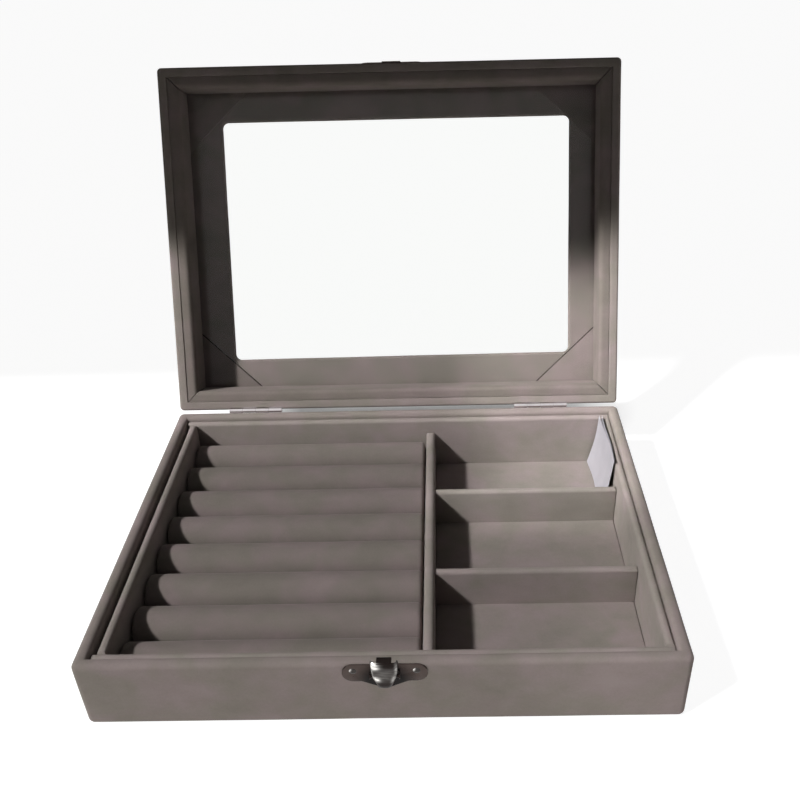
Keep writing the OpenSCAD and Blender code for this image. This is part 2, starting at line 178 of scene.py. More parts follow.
def round_edges(obj, radius, where, steps=4, clamp=True):
    """Rounds the chosen edges, and says how many there were. Edges that run round a corner of
    many short ones need clamp off, and a radius below the corner's."""
    only(obj)
    bpy.ops.object.mode_set(mode="EDIT")
    count = pick_edges(obj, where)
    if count:
        bpy.ops.mesh.bevel(offset=radius, segments=steps, profile=0.5, clamp_overlap=clamp)
    bpy.ops.object.mode_set(mode="OBJECT")
    return count


def at(axis, value):
    """A test for edges that lie in the plane where an axis has a value."""
    return lambda a, b: abs(a[axis] - value) < TINY and abs(b[axis] - value) < TINY


def along(axis):
    """A test for edges that run along an axis."""
    return lambda a, b: all(abs(a[k] - b[k]) < TINY for k in range(3) if k != axis)


# %% [markdown]
# ## Cutting and slackening
# Wrapped board is never quite flat: the glue lets the cloth lift by a tenth of a millimetre here
# and there, and low light shows it. A flat face has no points to move, so it is first cut into a
# grid with the bisect tool, and a Displace modifier with a soft cloud texture then lets it sink
# a little. A mesh cut by planes keeps its rounded edges exactly, which a remesh would lose.

# %% Helpers for cutting, slackening and smoothing
SLACK = 0.16 * MM
GRID = 9 * MM
SMOOTH_BELOW = math.radians(42)

cloth_slack = bpy.data.textures.new("cloth_slack", "CLOUDS")
cloth_slack.noise_scale = 26 * MM
cloth_slack.noise_depth = 1


def cut_away(obj, cutter):
    """Takes the cutter's shape out of obj, and deletes the cutter."""
    cut = obj.modifiers.new("cut", "BOOLEAN")
    cut.operation = "DIFFERENCE"
    cut.solver = "MANIFOLD"
    cut.object = cutter
    apply_modifier(obj, cut)
    bpy.data.objects.remove(cutter)


def slice_grid(obj):
    """Cuts all faces with planes along X, Y and Z, spaced evenly and about GRID apart."""
    only(obj)
    corners = [Vector(c) for c in obj.bound_box]
    bpy.ops.object.mode_set(mode="EDIT")
    for axis in range(3):
        low = min(c[axis] for c in corners)
        high = max(c[axis] for c in corners)
        count = max(1, round((high - low) / GRID))
        normal = Vector([float(axis == k) for k in range(3)])
        for i in range(1, count):
            bpy.ops.mesh.select_all(action="SELECT")
            place = normal * (low + (high - low) * i / count)
            bpy.ops.mesh.bisect(plane_co=place, plane_no=normal)
    bpy.ops.object.mode_set(mode="OBJECT")


def slacken(obj, depth=SLACK):
    """Lets the cloth sink by up to depth, the same at any one place on every piece."""
    slack = obj.modifiers.new("slack", "DISPLACE")
    slack.texture = cloth_slack
    slack.texture_coords = "LOCAL"
    slack.mid_level = 1
    slack.strength = depth
    apply_modifier(obj, slack)


def smooth(obj):
    """Shades a piece smooth, but for edges sharper than a rounded one."""
    only(obj)
    bpy.ops.object.shade_smooth_by_angle(angle=SMOOTH_BELOW)


def finish_piece(obj, body, node, material):
    """Gives a piece its finish, and lets it stand for its node on its body."""
    obj.data.materials.clear()
    obj.data.materials.append(material)
    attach(obj, body)
    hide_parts(node)
    print(obj.name, "-", len(obj.data.polygons), "faces")
    return obj


# %% [markdown]
# ## Colours and shader nodes
# Colours are written as a picker shows them, in sRGB, and one function turns them to the linear
# values that light is worked out in. Another adds a shader node with its settings and links, so
# that each material reads as a short list of what it is made of. Two more use it for the nodes
# that nearly all materials have: a noise of a given patch size, and a blend of two colours.

# %% Helpers for colours and nodes
def srgb(hex_colour):
    """An sRGB hex colour as linear red, green, blue and alpha."""
    parts = [int(hex_colour[i:i + 2], 16) / 255 for i in (1, 3, 5)]
    linear = [p / 12.92 if p <= 0.04045 else ((p + 0.055) / 1.055) ** 2.4 for p in parts]
    return (*linear, 1.0)


def add(tree, kind, settings=None, **inputs):
    """Adds a node, sets its settings, and fills its inputs with values or links.
    A name's underscores stand for spaces, and an input in a tuple is a link from (node, output)."""
    node = tree.nodes.new(kind)
    for key, value in (settings or {}).items():
        setattr(node, key, value)
    for key, value in inputs.items():
        socket = node.inputs[int(key[1:]) if key[1:].isdigit() else key.replace("_", " ")]
        if isinstance(value, tuple) and len(value) == 2 and isinstance(value[0], bpy.types.Node):
            tree.links.new(value[0].outputs[value[1]], socket)
        else:
            socket.default_value = value
    return node


def new_material(name):
    """An empty material and its node tree."""
    material = bpy.data.materials.new(name)
    material.use_nodes = True
    material.node_tree.nodes.clear()
    return material, material.node_tree


def per_metre(size_mm):
    """The scale of a pattern whose patches are about this wide."""
    return 1 / (size_mm * MM)


def noise(tree, vector, size_mm, detail, **more):
    """A noise whose patches are about size_mm wide."""
    return add(tree, "ShaderNodeTexNoise", Vector=vector, Scale=per_metre(size_mm),
               Detail=detail, **more)


def blend(tree, factor, first, second, how="MIX"):
    """A colour between two, each a hex colour or a link."""
    first, second = (srgb(c) if isinstance(c, str) else c for c in (first, second))
    return add(tree, "ShaderNodeMix", {"data_type": "RGBA", "blend_type": how}, Factor=factor,
               _6=first, _7=second)


# %% [markdown]
# ## Velvet
# The cloth is a short-pile polyester velvet glued to board. Its pile stands up, so it drinks
# light face on and glows where it is seen edge on, which is what the sheen layer gives. Pile
# that has been stroked lies in soft patches a centimetre or two wide, lighter and darker, and
# its taupe leans to olive in some and to mauve in others. The tufts themselves are near 0.3 mm,
# too fine for this view, so they are drawn at 0.8 mm.

# %% Velvet material
PATCH_MM = 17
STROKE_MM, STROKE_SHARE = 6, 0.45
STROKE_TURN, STROKE_STRETCH = (0.5, 0.9, 0.8), (0.5, 1.0, 1.0)
TUFT_MM, TUFT_SHARE = 0.8, 0.35
TUFT_DEPTH = 0.12 * MM
OLIVE_CAST, MAUVE_CAST = "#fbfef8", "#fff9fd"


def velvet(name, dark, light, sheen):
    """Velvet between two tones, with a sheen of a given strength."""
    material, tree = new_material(name)
    place = add(tree, "ShaderNodeTexCoord")
    patches = noise(tree, (place, "Object"), PATCH_MM, 2.0, Roughness=0.55, Distortion=0.4)
    stretched = add(tree, "ShaderNodeMapping", Vector=(place, "Object"),
                    Rotation=STROKE_TURN, Scale=STROKE_STRETCH)
    strokes = noise(tree, (stretched, "Vector"), STROKE_MM, 3.0, Roughness=0.6)
    tufts = noise(tree, (place, "Object"), TUFT_MM, 2.0, Roughness=0.7)
    nap = add(tree, "ShaderNodeMath", {"operation": "MULTIPLY_ADD"}, _0=(strokes, "Fac"),
              _1=STROKE_SHARE, _2=(patches, "Fac"))
    pile = add(tree, "ShaderNodeMath", {"operation": "MULTIPLY_ADD"}, _0=(tufts, "Fac"),
               _1=TUFT_SHARE, _2=(nap, "Value"))
    shade = add(tree, "ShaderNodeMapRange", Value=(pile, "Value"), From_Min=0.6, From_Max=1.2)
    lean = add(tree, "ShaderNodeMapRange", Value=(patches, "Fac"), From_Min=0.38, From_Max=0.62)
    colour = blend(tree, (shade, "Result"), dark, light)
    cast = blend(tree, (lean, "Result"), OLIVE_CAST, MAUVE_CAST)
    colour = blend(tree, 1.0, (colour, "Result"), (cast, "Result"), "MULTIPLY")
    bump = add(tree, "ShaderNodeBump", Strength=0.35, Distance=TUFT_DEPTH, Height=(pile, "Value"))
    shader = add(tree, "ShaderNodeBsdfPrincipled", Base_Color=(colour, "Result"), Roughness=0.95,
                 Specular_IOR_Level=0.15, Sheen_Weight=sheen, Sheen_Roughness=0.45,
                 Sheen_Tint=srgb("#cfc6c1"), Normal=(bump, "Normal"))
    add(tree, "ShaderNodeOutputMaterial", Surface=(shader, "BSDF"))
    return material


case_velvet = velvet("taupe_velvet", "#867d79", "#99908b", sheen=0.25)
liner_velvet = velvet("liner_velvet", "#8c8480", "#9f9691", sheen=0.25)
strip_velvet = velvet("strip_velvet", "#766d69", "#887f7a", sheen=0.22)
# the window board's copy of the velvet is painted lighter than the folds', to make up for the light
# that the glass in front of it takes away
board_velvet = velvet("board_velvet", "#776f6b", "#8a817c", sheen=0.22)
fold_velvet = velvet("fold_velvet", "#716865", "#837a76", sheen=0.22)
roll_velvet = velvet("roll_velvet", "#776f6b", "#887f7b", sheen=0.2)
floor_velvet = velvet("tray_velvet", "#837b77", "#948b87", sheen=0.2)
print("velvets:", len(bpy.data.materials))

# %% [markdown]
# ## The outer walls of the base
# Four board walls are glued into a frame, and one strip of velvet is wrapped round them, over
# the rim and down inside. A block is rounded as thick cloth rounds it, hollowed by a second
# block, and gets a groove for each hinge barrel. Its outer edges are rounded first, while there
# are no inner ones for them to run into. It could also be a profile swept round a rectangle, but
# the inner corners would then not stay square.

# %% A wrapped frame of four walls
FOOT_SHARE = 0.9
REACH = 5 * MM
GROOVE_R = 1.35 * MM
GROOVE_END = 0.15 * MM


def is_inside(point, low, high, margin):
    """True for a point that lies further than margin inside a box, seen along Z."""
    return all(low[k] + margin < point[k] < high[k] - margin for k in (0, 1))


def wrapped_frame(name, lo, hi, wall, rim, far, corner_r, outer_r, inner_r):
    """Four walls between two corners: their rim lies at z = rim, their other edge at z = far.
    The radii are those of the upright corners and of the rim's outer and inner edges."""
    obj = block(name, lo, hi)
    round_edges(obj, corner_r, along(2), steps=6)
    on_rim = at(2, rim)
    round_edges(obj, outer_r, on_rim, steps=5, clamp=False)
    round_edges(obj, corner_r * FOOT_SHARE, at(2, far), steps=5, clamp=False)
    hollow = block("hollow", lo + Vector((wall, wall, -REACH)), hi - Vector((wall, wall, -REACH)))
    cut_away(obj, hollow)
    round_edges(obj, inner_r,
                lambda a, b: on_rim(a, b)
                and all(is_inside(end, lo, hi, wall - TINY) for end in (a, b)), steps=5)
    slice_grid(obj)
    return obj


def cut_grooves(obj):
    """Cuts the round grooves that the hinges' barrels turn in."""
    for node in ("left_hinge_pin", "right_hinge_pin"):
        low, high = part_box(node)
        cut_away(obj, new_shape("groove", bpy.ops.mesh.primitive_cylinder_add, vertices=32,
                                radius=GROOVE_R, depth=high.x - low.x + 2 * GROOVE_END,
                                location=(low + high) / 2, rotation=(0, math.pi / 2, 0)))


base_lo, base_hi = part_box("base_outer_walls")
base_wall = base_hi.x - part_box("liner_right")[1].x
base_walls = wrapped_frame("base_walls_velvet", base_lo, base_hi, base_wall, base_hi.z, base_lo.z,
                           corner_r=2.4 * MM, outer_r=2.0 * MM, inner_r=1.9 * MM)
slacken(base_walls)
cut_grooves(base_walls)
smooth(base_walls)
finish_piece(base_walls, "base", "base_outer_walls", case_velvet)

# %% [markdown]
# ## Liners, pads and dividers
# Inside the walls stand thinner boards, wrapped before they are glued in, so their top edges are
# round and their ends show a soft fold. The trays' floor is a velvet-covered card, and three
# boards divide the inside. One function makes every wrapped board from its node's box: what
# differs is which edges the cloth rounds.

# %% Wrapped boards of the base
FOLD_R = 0.45 * MM
NEARLY_HALF = 0.47
LINER_TOP_R = 1.5 * MM
FULLY_ROUND = 5 * MM
PAD_EDGE_R = 0.5 * MM


def wrapped_board(name, node, top_r, material=liner_velvet):
    """A velvet-wrapped board the size of its node, rounded along its top by up to top_r."""
    lo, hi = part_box(node)
    obj = block(name, lo, hi)
    thickness = min(hi.x - lo.x, hi.y - lo.y)
    round_edges(obj, min(top_r, thickness * NEARLY_HALF), at(2, hi.z), steps=6)
    round_edges(obj, FOLD_R, along(2), steps=2)
    slice_grid(obj)
    slacken(obj)
    smooth(obj)
    finish_piece(obj, "base", node, material)


for side in ("front", "back", "left", "right"):
    wrapped_board(f"liner_{side}_velvet", f"liner_{side}", LINER_TOP_R)
for node in ("main_divider", "cross_divider_front", "cross_divider_rear"):
    wrapped_board(f"{node}_velvet", node, FULLY_ROUND)
wrapped_board("tray_floor_velvet", "tray_floor_pad", PAD_EDGE_R, material=floor_velvet)
wrapped_board("roll_bed_velvet", "roll_bed", PAD_EDGE_R)

# %% [markdown]
# ## Ring rolls
# A ring roll is a sleeve of velvet stuffed with foam, and its ends are tucked in. Rings are
# pushed down between two rolls and stay there. One roll is modelled, blown up a little as
# cloth so that it bulges and creases as a stuffed sleeve does, and then copied. Each copy is
# slackened where it lies, so no two of them are quite the same.

# %% One stuffed roll
ROLL_COUNT = 8
SLEEVE_SHRINK = 0.35 * MM
TUCK_R = 1.6 * MM
VOXEL = 1.3 * MM
INFLATE_FRAMES = 20
BULGE_LIMIT = 0.4 * MM
PRESSURE = 4
STRETCH_STIFFNESS = 30
BEND_STIFFNESS = 0.3


def sleeve(name, node):
    """A round sleeve along X with tucked ends, a little smaller than its node."""
    lo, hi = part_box(node)
    obj = new_shape(name, bpy.ops.mesh.primitive_cylinder_add, vertices=48,
                    radius=(hi.z - lo.z) / 2 - SLEEVE_SHRINK,
                    depth=hi.x - lo.x - 2 * SLEEVE_SHRINK,
                    location=(lo + hi) / 2, rotation=(0, math.pi / 2, 0))
    settle(obj)
    round_edges(obj, TUCK_R, lambda a, b: True, steps=4)
    return obj


def blow_up(obj):
    """Inflates a closed sleeve as cloth, and keeps each point near where it was."""
    only(obj)
    obj.data.remesh_voxel_size = VOXEL
    bpy.ops.object.voxel_remesh()
    before = [v.co.copy() for v in obj.data.vertices]
    cloth = obj.modifiers.new("inflate", "CLOTH")
    cloth.settings.use_pressure = True
    cloth.settings.uniform_pressure_force = PRESSURE
    cloth.settings.effector_weights.gravity = 0
    cloth.settings.tension_stiffness = STRETCH_STIFFNESS
    cloth.settings.compression_stiffness = STRETCH_STIFFNESS
    cloth.settings.bending_stiffness = BEND_STIFFNESS
    scene = bpy.context.scene
    for number in range(1, INFLATE_FRAMES + 1):
        scene.frame_set(number)
    apply_modifier(obj, cloth)
    scene.frame_set(1)
    farthest = 0
    for vertex, start in zip(obj.data.vertices, before):
        move = vertex.co - start
        farthest = max(farthest, move.length)
        if move.length > BULGE_LIMIT:
            vertex.co = start + move.normalized() * BULGE_LIMIT
    print("blown up by as much as", round(farthest / MM, 2), "mm, kept to", BULGE_LIMIT / MM)


first_roll = sleeve("ring_roll_1_velvet", "ring_roll_1")
blow_up(first_roll)
finer = first_roll.modifiers.new("finer", "SUBSURF")
finer.levels = finer.render_levels = 1
apply_modifier(first_roll, finer)

# %% Eight rolls, each with its own mesh
ROLL_SLACK = 0.3 * MM
first_centre = sum(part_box("ring_roll_1"), Vector()) / 2
rolls = [first_roll]
for i in range(2, ROLL_COUNT + 1):
    roll = first_roll.copy()
    roll.data = first_roll.data.copy()
    roll.name = roll.data.name = f"ring_roll_{i}_velvet"
    bpy.context.scene.collection.objects.link(roll)
    roll.location = sum(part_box(f"ring_roll_{i}"), Vector()) / 2 - first_centre
    settle(roll)
    rolls.append(roll)
for i, roll in enumerate(rolls, start=1):
    slacken(roll, ROLL_SLACK)
    only(roll)
    bpy.ops.object.shade_smooth()
    finish_piece(roll, "base", f"ring_roll_{i}", roll_velvet)

# %% [markdown]
# ## The lid, made closed
# The lid is easiest to model shut, where its walls stand square, and is then swung open about
# the hinge line. The joint in the construction model gives the line and the angle, so a closed
# size is found by turning a node's points back by that angle.

# %% Swinging between open and closed
hinge = next(j for j in frame["joints"] if j["name"] == "lid_hinge")
HINGE_POINT = Vector(hinge["pos_m"])
OPEN_ANGLE = math.radians(hinge["range_deg"][1])


def swing(angle):
    """The turn about the hinge line by an angle."""
    return (Matrix.Translation(HINGE_POINT) @ Matrix.Rotation(angle, 4, "X")
            @ Matrix.Translation(-HINGE_POINT))


def closed_points(node):
    """The points that a lid node has when the lid is shut."""
    return [swing(OPEN_ANGLE) @ v.co for v in frame["nodes"][node].data.vertices]


def corners(points):
    """The lowest and the highest corner of the box round some points."""
    return (Vector([min(p[k] for p in points) for k in range(3)]),
            Vector([max(p[k] for p in points) for k in range(3)]))


def closed_box(node):
    return corners(closed_points(node))


def open_up(obj):
    """Swings a piece that was modelled closed to where the open lid holds it."""
    obj.matrix_world = swing(-OPEN_ANGLE)
    settle(obj)


lid_lo, lid_hi = closed_box("lid_outer_walls")
print("closed lid:", [round(v / MM, 2) for v in (*lid_lo, *lid_hi)])

# %% [markdown]
# ## Lid walls
# The lid's walls are wrapped like those of the base, with the rim facing down when it is shut.

# %% Lid walls
board_lo, board_hi = closed_box("lid_window_board")
lid_wall = lid_hi.x - board_hi.x
lid_walls = wrapped_frame("lid_walls_velvet", lid_lo, lid_hi, lid_wall, lid_lo.z, lid_hi.z,
                          corner_r=1.9 * MM, outer_r=1.1 * MM, inner_r=0.35 * MM)
slacken(lid_walls)
cut_grooves(lid_walls)
smooth(lid_walls)
open_up(lid_walls)
finish_piece(lid_walls, "lid", "lid_outer_walls", case_velvet)

# %% [markdown]
# ## The window board
# The lid's top is a board with a window cut in it. The velvet is pulled through the window and
# glued behind, so the window's edges are round on both sides and its corners are tight. It is
# cut by hand: one corner lies a millimetre off square.

# %% Window board
WINDOW_CORNER_R = 2.5 * MM
WINDOW_EDGE_R = 1.3 * MM
WINDOW_SKEW = 1.0 * MM
BOARD_MARGIN = 4 * MM

window_lo, window_hi = corners([p for p in closed_points("lid_window_board")
                                if is_inside(p, board_lo, board_hi, BOARD_MARGIN)])
window_board = block("window_board_velvet", board_lo, board_hi)
opening = block("opening", window_lo - Vector((0, 0, REACH)), window_hi + Vector((0, 0, REACH)))
for vertex in opening.data.vertices:
    if vertex.co.x > 0 and vertex.co.y > 0:
        vertex.co.y -= WINDOW_SKEW
round_edges(opening, WINDOW_CORNER_R, along(2), steps=5)
cut_away(window_board, opening)
round_edges(window_board, WINDOW_EDGE_R,
            lambda a, b: abs(a.z - b.z) < TINY
            and all(is_inside(end, window_lo, window_hi, -TINY) for end in (a, b)),
            steps=5, clamp=False)
slice_grid(window_board)
slacken(window_board)
smooth(window_board)
open_up(window_board)
finish_piece(window_board, "lid", "lid_window_board", board_velvet)
print("window:", [round((b - a) / MM, 1) for a, b in zip(window_lo, window_hi)][:2])

# %% [markdown]
# ## Folded corners
# Where the cloth is pulled through the window, its slack ends in a flat fold over each corner of
# the board. Each is a thin triangle. Its long side is where the velvet was cut. On the two folds
# by the hinges that cut edge is painted near black, as painted shade that draws a thin dark line
# along the crease. The other two get no such line.

# %% Corner folds
CUT_EDGE = 0.45 * MM
LEAN_OF_CUT = 0.15

fold_points = closed_points("board_corner_folds")
fold_lo, fold_hi = corners(fold_points)
right_lo, right_hi = corners([p for p in fold_points if p.x > 0 and p.y > 0])
LEG_X, LEG_Y, _ = right_hi - right_lo


def corner_fold(sx, sy):
    """A triangle of folded cloth in the corner on the sx, sy side."""
    corner = Vector((fold_hi.x * sx, fold_hi.y * sy, 0))
    tip = corner - Vector((sx * LEG_X, sy * LEG_Y, 0))
    low = Vector((min(corner.x, tip.x), min(corner.y, tip.y), fold_lo.z))
    high = Vector((max(corner.x, tip.x), max(corner.y, tip.y), fold_hi.z))
    obj = block("corner_fold", low, high)
    bpy.ops.object.mode_set(mode="EDIT")
    bpy.ops.mesh.select_all(action="SELECT")
    long_side = Vector((-sx * LEG_Y, -sy * LEG_X, 0)).normalized()
    bpy.ops.mesh.bisect(plane_co=corner - Vector((sx * LEG_X, 0, 0)), plane_no=long_side,
                        use_fill=True, clear_outer=True)
    bpy.ops.object.mode_set(mode="OBJECT")
    slanted = lambda a, b: abs(a.x - b.x) > MM and abs(a.y - b.y) > MM
    in_front = at(2, fold_lo.z)
    round_edges(obj, CUT_EDGE, lambda a, b: slanted(a, b) and in_front(a, b), steps=2)
    return obj


corner_folds = join(*[corner_fold(sx, sy) for sx in (-1, 1) for sy in (-1, 1)])
corner_folds.name = corner_folds.data.name = "corner_folds_velvet"
shaded_cut_faces = [face.index for face in corner_folds.data.polygons
             if min(abs(face.normal.x), abs(face.normal.y)) > LEAN_OF_CUT and face.center.y > 0]
print("faces of cut cloth:", len(shaded_cut_faces))
smooth(corner_folds)
open_up(corner_folds)
finish_piece(corner_folds, "lid", "board_corner_folds", fold_velvet)
# painted shade: a near-black velvet on the cut edge draws the dark line along the crease
corner_folds.data.materials.append(velvet("painted_crease_shade", "#1f1a18", "#2e2723", sheen=0.0))
for index in shaded_cut_faces:
    corner_folds.data.polygons[index].material_index = 1

# %% [markdown]
# ## Frame strips
# Four wrapped strips are pressed in against the glass and hold it. Their ends are mitred like
# those of a picture frame, and pressed together so that the cloth closes the joint. The padding
# under the cloth makes a fat round edge along the inside and a flat face beside it, nearly level
# with the lid's rim.

# %% Mitred strips
BEAD_R = 2.2 * MM
STRIP_OUTER_R = 0.2 * MM
PRESSED_IN = 0.24 * MM
PADDING = 0.7 * MM
OVERLAP = 0.1 * MM


def mitred_strip(name, node):
    """A wrapped strip with mitred ends, a little wider and thicker than its node."""
    lo, hi = closed_box(node)
    lo.z -= PADDING
    long_axis = 0 if hi.x - lo.x > hi.y - lo.y else 1
    cross_axis = 1 - long_axis
    outward = math.copysign(1, lo[cross_axis] + hi[cross_axis])
    edge = hi if outward > 0 else lo
    edge[cross_axis] += outward * PRESSED_IN
    obj = block(name, lo, hi)
    bpy.ops.object.mode_set(mode="EDIT")
    for end in (-1, 1):
        corner = Vector((0, 0, 0))
        corner[long_axis] = (hi[long_axis] if end > 0 else lo[long_axis]) + end * OVERLAP
        corner[cross_axis] = hi[cross_axis] if outward > 0 else lo[cross_axis]
        normal = Vector((0, 0, 0))
        normal[long_axis] = end
        normal[cross_axis] = -outward
        bpy.ops.mesh.select_all(action="SELECT")
        bpy.ops.mesh.bisect(plane_co=corner, plane_no=normal, use_fill=True, clear_outer=True)
    bpy.ops.object.mode_set(mode="OBJECT")
    inner = lo[cross_axis] if outward > 0 else hi[cross_axis]
    outer = hi[cross_axis] if outward > 0 else lo[cross_axis]
    on_rim, runs = at(2, lo.z), along(long_axis)
    for place, radius, steps in ((inner, BEAD_R, 8), (outer, STRIP_OUTER_R, 3)):
        on_line = at(cross_axis, place)
        round_edges(obj, radius,
                    lambda a, b: on_rim(a, b) and runs(a, b) and on_line(a, b), steps=steps)
    slice_grid(obj)
    slacken(obj)
    smooth(obj)
    open_up(obj)
    finish_piece(obj, "lid", node, strip_velvet)


for side in ("front", "back", "left", "right"):
    mitred_strip(f"lid_strip_{side}_velvet", f"lid_frame_{side}")

# %% [markdown]
# ## The glass
# The pane is plain float glass, cut to size with its edges ground so that it can be handled. A
# ground edge is a narrow flat, which one bevel step gives. Float glass has an index of
# refraction of 1.52, and a coating keeps its mirror image weak. It is kept out of shadows,
# because clear glass hardly shades anything.

# %% Glass pane
GROUND_EDGE = 0.3 * MM
WAVE_MM, WAVE_DEPTH = 60, 0.02 * MM


def float_glass():
    """Clear glass, a little wavy."""
    material, tree = new_material("clear_float_glass")
    place = add(tree, "ShaderNodeTexCoord")
    wave = noise(tree, (place, "Object"), WAVE_MM, 1.0)
    bump = add(tree, "ShaderNodeBump", Strength=0.1, Distance=WAVE_DEPTH, Height=(wave, "Fac"))
    shader = add(tree, "ShaderNodeBsdfPrincipled", Base_Color=srgb("#fefffe"), Roughness=0.0,
                 IOR=1.52, Specular_Tint=srgb("#707070"), Transmission_Weight=1.0,
                 Normal=(bump, "Normal"))
    add(tree, "ShaderNodeOutputMaterial", Surface=(shader, "BSDF"))
    return material


glass_lo, glass_hi = closed_box("glass_pane")
pane = block("glass_pane_ground", glass_lo, glass_hi)
round_edges(pane, GROUND_EDGE, lambda a, b: True, steps=1)
pane.visible_shadow = pane.visible_diffuse = False
open_up(pane)
finish_piece(pane, "lid", "glass_pane", float_glass())

# %% [markdown]
# ## The satin label
# A strip of white satin ribbon, folded once across its middle, is tucked into the rear tray and
# leans on the side liner. It carries nothing. Ribbon keeps its width and bends only one way, so
# it is laid out as a flat grid and bent by a short rule: its fold stands at the front, and the
# two halves open a little towards the back.

# %% Satin ribbon
THREAD_MM, THREAD_DEPTH = 0.5, 0.05 * MM
SOIL_MM = 9
RIBBON_THICK = 0.12 * MM
FOLD_GAP = 0.3 * MM
OPEN_GAP = 1.3 * MM
BELLY = 0.9 * MM
RIPPLE, RIPPLE_TURN = 0.25 * MM, 2.3 * math.pi


def satin():
    """Satin woven of fine threads, a little soiled."""
    material, tree = new_material("white_satin_ribbon")
    place = add(tree, "ShaderNodeTexCoord")
    turned = add(tree, "ShaderNodeMapping", Vector=(place, "Object"), Scale=(0.3, 1.0, 1.0))
    threads = add(tree, "ShaderNodeTexWave", {"bands_direction": "Y"}, Vector=(turned, "Vector"),
                  Scale=per_metre(THREAD_MM) / math.tau, Distortion=0.6, Detail=1.0)
    soil = noise(tree, (place, "Object"), SOIL_MM, 2.0)
    tone = blend(tree, (soil, "Fac"), "#b3b0b6", "#a19ea5")
    bump = add(tree, "ShaderNodeBump", Strength=0.25, Distance=THREAD_DEPTH,
               Height=(threads, "Fac"))
    shader = add(tree, "ShaderNodeBsdfPrincipled", Base_Color=(tone, "Result"), Roughness=0.42,
                 Specular_IOR_Level=0.5, Anisotropic=0.5, Sheen_Weight=0.1,
                 Normal=(bump, "Normal"))
    add(tree, "ShaderNodeOutputMaterial", Surface=(shader, "BSDF"))
    return material


def folded_ribbon(name, node):
    """A ribbon folded at the front end of its node, and how long and high it is when flat."""
    lo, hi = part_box(node)
    half = hi.y - lo.y
    rise = Vector((hi.x - lo.x - RIBBON_THICK, 0, hi.z - lo.z))
    height = rise.length
    rise.normalize()
    out = Vector((-rise.z, 0, rise.x))
    obj = new_shape(name, bpy.ops.mesh.primitive_grid_add, x_subdivisions=96, y_subdivisions=16,
                    size=1)
    for vertex in obj.data.vertices:
        along_ribbon = vertex.co.x * 2
        up = vertex.co.y + 0.5
        run = abs(along_ribbon)
        gap = FOLD_GAP + (OPEN_GAP - FOLD_GAP) * run ** 2
        near_fold = min(1, run * half / FOLD_GAP)
        lift = math.copysign(gap / 2, along_ribbon) * math.sin(near_fold * math.pi / 2)
        belly = BELLY * math.sin(math.pi * up) * (0.5 + 0.5 * run)
        ripple = RIPPLE * math.sin(RIPPLE_TURN * run + 2 * up)
        vertex.co = (Vector((lo.x + RIBBON_THICK / 2, lo.y + run * half, lo.z))
                     + rise * up * height + out * (lift + ripple - belly + gap / 2))
    thick = obj.modifiers.new("thickness", "SOLIDIFY")
    thick.thickness = RIBBON_THICK
    thick.offset = 0
    apply_modifier(obj, thick)
    smooth(obj)
    return obj, 2 * half, height


label, label_length, label_height = folded_ribbon("satin_label_ribbon", "satin_label")
finish_piece(label, "base", "satin_label", satin())
print("ribbon:", round(label_length / MM, 1), "by", round(label_height / MM, 1), "mm")

# %% [markdown]
# ## Plated metal
# Clasp and hinges are pressed from mild steel strip and plated: bright nickel on the hinges, and
# a dark nickel like gunmetal on the clasp. Handling leaves a haze of fine scratches on such a
# finish, so its roughness varies from place to place. On the clasp, highlights are painted into
# the colour as bright bare metal: a piece that has them carries an attribute that says how strong
# the painted highlight is at each point. The dark nickel also gets painted shade, nearly black
# round the lever's foot. A metal is all reflection: its colour is the reflection's tint, and its
# index of refraction stays as it is.

# %% Metals
SCRATCH_MM, SCRATCH_DEPTH = 0.5, 0.02 * MM
HAZE_MM = 4
# reach of the painted shade round the lever's foot, then the colours of painted highlight and
# painted shade
PAINTED_SHADE_R = 11 * MM
HIGHLIGHT_WHITE, PAINTED_SHADE = "#f4f1ec", "#0d0807"


